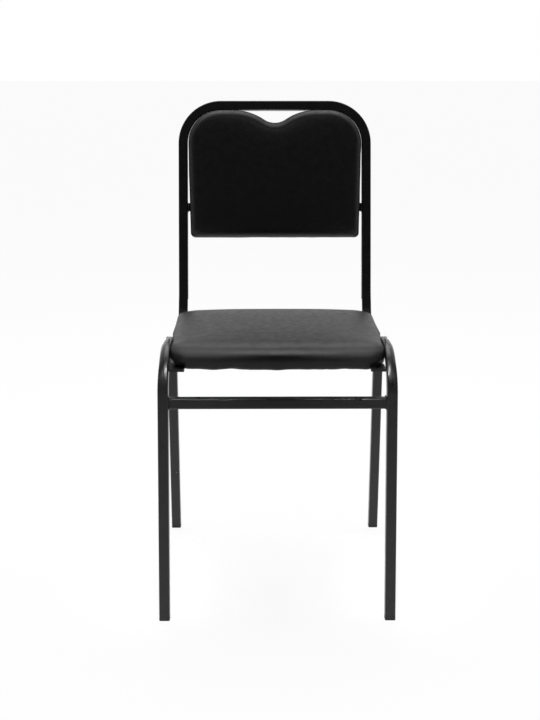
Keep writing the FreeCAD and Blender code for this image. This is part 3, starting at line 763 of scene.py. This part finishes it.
def wander(values, row, wavelength):
    """Smooth unevenness from -1 to 1 along the values of an array; each row of the noise differs."""
    flat = [noise.noise(Vector((value / wavelength, row, NOISE_PLANE))) for value in values.ravel()]
    return np.array(flat).reshape(values.shape)


def cushion(name, rings, node, place, press, folds):
    """A stuffed cover: rings skinned, blown up as cloth, pressed by the frame and folded."""
    count = rings.shape[1]
    flat = rings.reshape(-1, 3)
    closing = len(flat)
    points = np.vstack([flat, flat[:count].mean(0), flat[-count:].mean(0)])
    faces = ring_faces(len(rings), count)
    for index in range(count):
        nxt = (index + 1) % count
        faces.append((closing, nxt, index))
        faces.append((closing + 1, closing - count + index, closing - count + nxt))
    obj = new_object(name, points, faces, VINYL)
    turn_outward(obj.data)
    held = points[:, 2] < CLOTH_HOLD
    lift = even_out(obj.data, inflate(obj, held, CLOTH_CAP), CLOTH_EVENING)
    shaped = press(points + lift * np.array((0, 0, 1)))
    shaped[:closing] = folds(shaped[:closing].reshape(rings.shape)).reshape(-1, 3)
    obj.data.vertices.foreach_set("co", shaped.ravel())
    obj.data.transform(place)
    obj.data.update()
    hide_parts(node)


def rail_top(depth):
    """Height of a side tube's upper face at a depth behind the front leg's centre line."""
    if depth < SIDE_RUNS[1][0].x:
        return FRONT_CENTRE.y + math.sqrt(max(0.0, (BEND_RADIUS + HALF_TUBE) ** 2
                                              - (depth - FRONT_CENTRE.x) ** 2))
    if depth < REAR_CENTRE.x:
        start = SIDE_RUNS[1][0]
        return (start.y - (depth - start.x) * math.tan(RAIL_FALL)) + HALF_TUBE / math.cos(RAIL_FALL)
    inner = BEND_RADIUS - HALF_TUBE
    return REAR_CENTRE.y - math.sqrt(max(0.0, inner ** 2 - (depth - REAR_CENTRE.x) ** 2))


def smooth_step(value):
    """Ease a value from 0 to 1, held outside that range."""
    value = min(1.0, max(0.0, value))
    return value * value * (3 - 2 * value)


def press_on_rails(points):
    """Keep the seat's cover between the front bends, and lift it where it lies over the rails."""
    seat_foot_half = FOOT_HALF - SEAT_UNDERSIDE * math.tan(LEG_LEAN)
    for point in points:
        depth = point[1] + SEAT_SETBACK - HALF_TUBE
        inner = seat_foot_half - depth * math.sin(RAIL_TOE) - HALF_TUBE
        over = (abs(point[0]) - inner) / RAIL_PRESS
        if over <= 0:
            continue
        ease = smooth_step((depth - BEND_CLEAR_DEPTH) / PRESS_EASE)
        point[0] = math.copysign(inner + (abs(point[0]) - inner) * ease, point[0])
        plane = SEAT_UNDERSIDE - point[1] * math.sin(SEAT_FALL)
        rise = min(max(0.0, rail_top(depth) - plane), SEAT_EDGE_HEIGHT * PRESS_LIMIT)
        low = rise * min(1.0, over) * ease
        point[2] = low + point[2] * (1 - low / SEAT_EDGE_HEIGHT)
    return points


def pull_inward(rings, amount):
    """Move ring points towards the cushion's middle line by an amount for each point."""
    way = rings[:, :, :2] - rings[:, :, :2].mean(1, keepdims=True)
    way /= np.maximum(np.linalg.norm(way, axis=2, keepdims=True), TINY)
    rings[:, :, :2] -= way * amount[:, :, None]
    return rings


def leave_as_is(points):
    """Nothing presses the back pad."""
    return points


def pleats(rings, corner, first, depths):
    """Tucks fanned over a quarter turn round a corner, deepest at the foot; one for each depth."""
    bearing = np.arctan2(rings[:, :, 1] - corner.y, rings[:, :, 0] - corner.x)
    foot = np.clip(1 - rings[:, :, 2] / PLEAT_HEIGHT, 0, 1) * (rings[:, :, 2] > PLEAT_FLOOR)
    near = np.hypot(rings[:, :, 0] - corner.x, rings[:, :, 1] - corner.y) < PLEAT_RANGE
    total = np.zeros_like(bearing)
    for index, depth in enumerate(depths):
        middle = first + math.pi / 2 * (index + 0.5) / len(depths)
        slant = PLEAT_SLANT * rings[:, :, 2]
        total += depth * np.exp(-((bearing - middle - slant) / PLEAT_WIDTH) ** 2)
    return pull_inward(rings, total * foot * near)


def arch_rear(rings, height):
    """Raise the seat's rear edge in its middle and let it fall towards its ends."""
    arch = ARCH_LEVEL - (rings[:, :, 0] / SEAT_REAR_HALF) ** ARCH_POWER
    rear = np.clip(rings[:, :, 1] / SEAT_DEPTH, 0, 1) ** 2
    rings[:, :, 2] += REAR_ARCH * arch * rear * height


def roll_front(rings, height):
    """Roll the top over the front edge, most at its ends, and round the front face."""
    nose = np.clip(1 - rings[:, :, 1] / ROLL_DEPTH, 0, 1) ** 2
    from_side = SEAT_FRONT_HALF - np.abs(rings[:, :, 0])
    side_share = np.clip(1 - from_side / ROLL_CORNER, 0, 1) ** 2
    rings[:, :, 2] -= nose * height * (FRONT_ROLL + CORNER_ROLL * side_share)
    belly = np.clip(rings[:, :, 2] / BELLY_HEIGHT - 1, -1, 1) ** 2
    rings[:, :, 1] += FRONT_BELLY * belly * nose


def staple_waves(rings):
    """Make the seat's lower edge uneven, sagging along the front and curled up at its corners."""
    low = np.exp(-((rings[:, :, 2] - WAVE_LEVEL) / WAVE_BAND) ** 2)
    along = rings[:, :, 0] + rings[:, :, 1]
    wave = wander(along, WAVE_ROW, STAPLE_PITCH)
    fine = wander(along, FINE_ROW, FINE_PITCH)
    front = np.clip(1 - rings[:, :, 1] / SAG_DEPTH, 0, 1)
    past_corner = np.abs(rings[:, :, 0]) + SEAT_FRONT_CORNER - SEAT_FRONT_HALF
    corner = np.clip(past_corner / SEAT_FRONT_CORNER, 0, 1)
    sag = FRONT_SAG * (1 - corner) - CORNER_CURL * corner
    rings[:, :, 2] += low * (WAVE_HEIGHT * wave + FINE_HEIGHT * fine - WAVE_SINK - sag * front)


def tuck_corners(rings):
    """Fold the cover round the seat's four corners."""
    front_x = SEAT_FRONT_HALF - SEAT_FRONT_CORNER
    front_y = SEAT_FRONT_CORNER + FRONT_BOW / 2
    rear_x = SEAT_REAR_HALF - SEAT_REAR_CORNER
    rear_y = SEAT_DEPTH - SEAT_REAR_CORNER
    rings = pleats(rings, Vector((-front_x, front_y)), -math.pi, FRONT_LEFT_PLEATS)
    rings = pleats(rings, Vector((front_x, front_y)), -math.pi / 2, FRONT_RIGHT_PLEATS)
    rings = pleats(rings, Vector((rear_x, rear_y)), 0.0, REAR_RIGHT_PLEATS)
    return pleats(rings, Vector((-rear_x, rear_y)), math.pi / 2, REAR_LEFT_PLEATS)


def seat_folds(rings):
    """Arched rear, rolled front, staple waves along the lower edge and tucks round the corners."""
    height = np.clip(rings[:, :, 2] / SEAT_EDGE_HEIGHT, 0, 1)
    arch_rear(rings, height)
    roll_front(rings, height)
    staple_waves(rings)
    return tuck_corners(rings)


def back_folds(rings):
    """Slightly uneven rim where the cover is pulled round to the rear of the board."""
    low = np.exp(-((rings[:, :, 2] - RIM_LEVEL) / RIM_BAND) ** 2)
    along = rings[:, :, 0] * RIM_SKEW + rings[:, :, 1]
    return pull_inward(rings, low * (RIM_PULL + RIM_WAVE * wander(along, RIM_ROW, STAPLE_PITCH)))


SEAT = (Matrix.Translation((0, FRONT_LINE - HALF_TUBE + SEAT_SETBACK, SEAT_UNDERSIDE))
        @ Matrix.Rotation(-SEAT_FALL, 4, "X"))
seat_profile = cushion_profile(SEAT_EDGE_HEIGHT, SEAT_WAIST, SEAT_EDGE_ROUND, SEAT_WRAP)
seat_rings = cushion_rings(seat_ring, seat_profile, SEAT_CROWN, np.array((0, SEAT_DEPTH / 2)))
cushion("seat_cushion", seat_rings, "seat_pad", SEAT, press_on_rails, seat_folds)

# The back pad is drawn in (x, height), with its thickness towards the front
PAD_TOP = HOOP_RISE - HALF_TUBE - PAD_TOP_CLEARANCE
BACK = HOOP @ Matrix.Translation((0, PAD_REAR, 0)) @ Matrix.Rotation(math.pi / 2, 4, "X")
back_profile = cushion_profile(PAD_THICKNESS, PAD_WAIST, PAD_EDGE_ROUND, PAD_WRAP)
back_middle = np.array((0, PAD_TOP - PAD_HEIGHT * PAD_MIDDLE))
back_rings = cushion_rings(back_ring, back_profile, PAD_CROWN, back_middle)
cushion("back_cushion", back_rings, "back_pad", BACK, leave_as_is, back_folds)


# Weld beads
def bead_rings(path, radius, seed):
    """Rings of a lumpy round bead along a run of points."""
    rings = []
    for index, point in enumerate(path):
        way = (path[min(index + 1, len(path) - 1)] - path[max(index - 1, 0)]).normalized()
        side = way.orthogonal().normalized()
        other = way.cross(side)
        swell = radius * (1 + BEAD_UNEVEN * noise.noise(point * BEAD_LUMPS + Vector((seed, 0, 0))))
        swell *= BEAD_END if index in (0, len(path) - 1) else 1.0
        for angle in np.linspace(0, 2 * math.pi, BEAD_SIDES, endpoint=False):
            rings.append(point + (side * math.cos(angle) + other * math.sin(angle)) * swell)
    return rings


def bead_path(corners):
    """Points close together along straight runs between corners."""
    path = [corners[0]]
    for start, end in zip(corners, corners[1:]):
        count = max(2, int((end - start).length / BEAD_PITCH))
        path += [start.lerp(end, step / count) for step in range(1, count + 1)]
    return path


def weld_beads(runs):
    """All beads as one piece."""
    points = []
    faces = []
    for seed, corners in enumerate(runs):
        path = bead_path(corners)
        base = len(points)
        points += bead_rings(path, BEAD_RADIUS, seed)
        faces += [tuple(base + index for index in face) for face in ring_faces(len(path), BEAD_SIDES)]
        faces.append(tuple(range(base, base + BEAD_SIDES)))
        faces.append(tuple(range(len(points) - BEAD_SIDES, len(points))))
    obj = new_object("weld_beads", points, faces, PAINT)
    turn_outward(obj.data)


def end_loop(node, side):
    """Run round the end of a crossbar where it meets a side tube."""
    low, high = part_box(node)
    x = high.x if side > 0 else low.x
    return [Vector((x, low.y, low.z)), Vector((x, low.y, high.z)), Vector((x, high.y, high.z)),
            Vector((x, high.y, low.z)), Vector((x, low.y, low.z))]


def edge_run(node, side):
    """Run along the outer lower edge of a lug."""
    low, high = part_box(node)
    x = high.x if side > 0 else low.x
    return [Vector((x, low.y, low.z)), Vector((x, high.y, low.z))]


bead_runs = []
for side_name, side_sign in SIDES:
    bead_runs.append(end_loop("front_stretcher", side_sign))
    bead_runs.append(end_loop("rear_cross_rail", side_sign))
    bead_runs.append(edge_run(f"{side_name}_side_lug", side_sign))
weld_beads(bead_runs)


# Studio
def area_light(name, place, aim, width, height, power, spread=math.pi):
    """A rectangular lamp at a place, turned to its aim; its beam may be narrowed by a spread."""
    lamp = bpy.data.lights.new(name, "AREA")
    lamp.spread = spread
    lamp.shape = "RECTANGLE"
    lamp.size = width
    lamp.size_y = height
    lamp.energy = power
    obj = bpy.data.objects.new(name, lamp)
    obj.location = place
    obj.rotation_euler = (Vector(aim) - Vector(place)).to_track_quat("-Z", "Y").to_euler()
    bpy.context.scene.collection.objects.link(obj)


def white_share(tree, mask):
    """How much a ray sees of the white sweep: camera rays all of it, reflections by the mask."""
    path = tree.nodes.new("ShaderNodeLightPath")
    mirrored = tree.nodes.new("ShaderNodeMath")
    mirrored.operation = "MAXIMUM"
    tree.links.new(path.outputs["Is Glossy Ray"], mirrored.inputs[0])
    tree.links.new(path.outputs["Is Transmission Ray"], mirrored.inputs[1])
    masked = tree.nodes.new("ShaderNodeMath")
    masked.operation = "MULTIPLY"
    tree.links.new(mirrored.outputs["Value"], masked.inputs[0])
    tree.links.new(mask, masked.inputs[1])
    share = tree.nodes.new("ShaderNodeMath")
    share.operation = "MAXIMUM"
    tree.links.new(path.outputs["Is Camera Ray"], share.inputs[0])
    tree.links.new(masked.outputs["Value"], share.inputs[1])
    return share.outputs["Value"]


def along_depth(tree, space, near, far):
    """A value that rises from 0 to 1 from near to far along the depth axis."""
    split = tree.nodes.new("ShaderNodeSeparateXYZ")
    tree.links.new(space, split.inputs["Vector"])
    ramp = tree.nodes.new("ShaderNodeMapRange")
    ramp.inputs["From Min"].default_value = near
    ramp.inputs["From Max"].default_value = far
    tree.links.new(split.outputs["Y"], ramp.inputs["Value"])
    return ramp.outputs["Result"]


def pale_floor():
    """White floor under the chair: it keeps a faint shadow, and its mirror image fades in front."""
    material, tree, shader = new_material("pale_floor", FLOOR_COLOR, FLOOR_ROUGHNESS)
    shader.inputs["Specular IOR Level"].default_value = FLOOR_SPECULAR
    white = white_share(tree, along_depth(tree, texture_space(tree), SWEEP_FRONT, SWEEP_FULL))
    share = tree.nodes.new("ShaderNodeMath")
    share.operation = "MULTIPLY"
    share.inputs[1].default_value = FLOOR_WHITE
    tree.links.new(white, share.inputs[0])
    glow = tree.nodes.new("ShaderNodeEmission")
    glow.inputs["Strength"].default_value = FLOOR_GLOW
    mix = tree.nodes.new("ShaderNodeMixShader")
    tree.links.new(share.outputs["Value"], mix.inputs["Fac"])
    tree.links.new(shader.outputs["BSDF"], mix.inputs[1])
    tree.links.new(glow.outputs["Emission"], mix.inputs[2])
    tree.links.new(mix.outputs["Shader"], tree.nodes["Material Output"].inputs["Surface"])
    mesh = bpy.data.meshes.new("floor")
    corners = [(-FLOOR_REACH, -FLOOR_REACH, 0), (FLOOR_REACH, -FLOOR_REACH, 0),
               (FLOOR_REACH, FLOOR_REACH, 0), (-FLOOR_REACH, FLOOR_REACH, 0)]
    mesh.from_pydata(corners, [], [(0, 1, 2, 3)])
    floor = bpy.data.objects.new("floor", mesh)
    bpy.context.scene.collection.objects.link(floor)
    dress(floor, material)


def studio_world():
    """White sweep behind the chair, dim studio in front of it."""
    world = bpy.data.worlds.new("studio")
    bpy.context.scene.world = world
    world.use_nodes = True
    tree = world.node_tree
    background = tree.nodes["Background"]
    space = tree.nodes.new("ShaderNodeTexCoord")
    behind = along_depth(tree, space.outputs["Generated"], WORLD_FRONT, WORLD_FULL)
    dim = tree.nodes.new("ShaderNodeMapRange")
    dim.inputs["To Min"].default_value = STUDIO_FRONT
    dim.inputs["To Max"].default_value = STUDIO_BACK
    tree.links.new(behind, dim.inputs["Value"])
    seen = tree.nodes.new("ShaderNodeMix")
    seen.inputs["B"].default_value = 1.0
    tree.links.new(white_share(tree, behind), seen.inputs["Factor"])
    tree.links.new(dim.outputs["Result"], seen.inputs["A"])
    tree.links.new(seen.outputs["Result"], background.inputs["Color"])


def photo_camera():
    """The photograph's view: nearly straight on, from above the seat."""
    lens = bpy.data.cameras.new("camera")
    lens.lens = FOCAL_LENGTH
    lens.sensor_width = SENSOR_WIDTH
    camera = bpy.data.objects.new("camera", lens)
    camera.location = CAMERA_PLACE + Vector((0, FRONT_LINE - HALF_TUBE, 0))
    camera.rotation_euler = (math.pi / 2 - CAMERA_PITCH, 0, -CAMERA_YAW)
    bpy.context.scene.collection.objects.link(camera)
    bpy.context.scene.camera = camera


pale_floor()
studio_world()
area_light("overhead", place=(0, 0.7, 2.8), aim=(0, 0.1, 0.4), width=2.6, height=2.0, power=45)
for _, side_sign in SIDES:
    area_light("bend_glint", place=(-0.05 * side_sign, -1.75, 2.1), aim=(0.2 * side_sign, -0.27, 0.44),
               width=0.2, height=0.6, power=0.38, spread=math.radians(6))
photo_camera()
bpy.context.scene.view_settings.view_transform = "Standard"
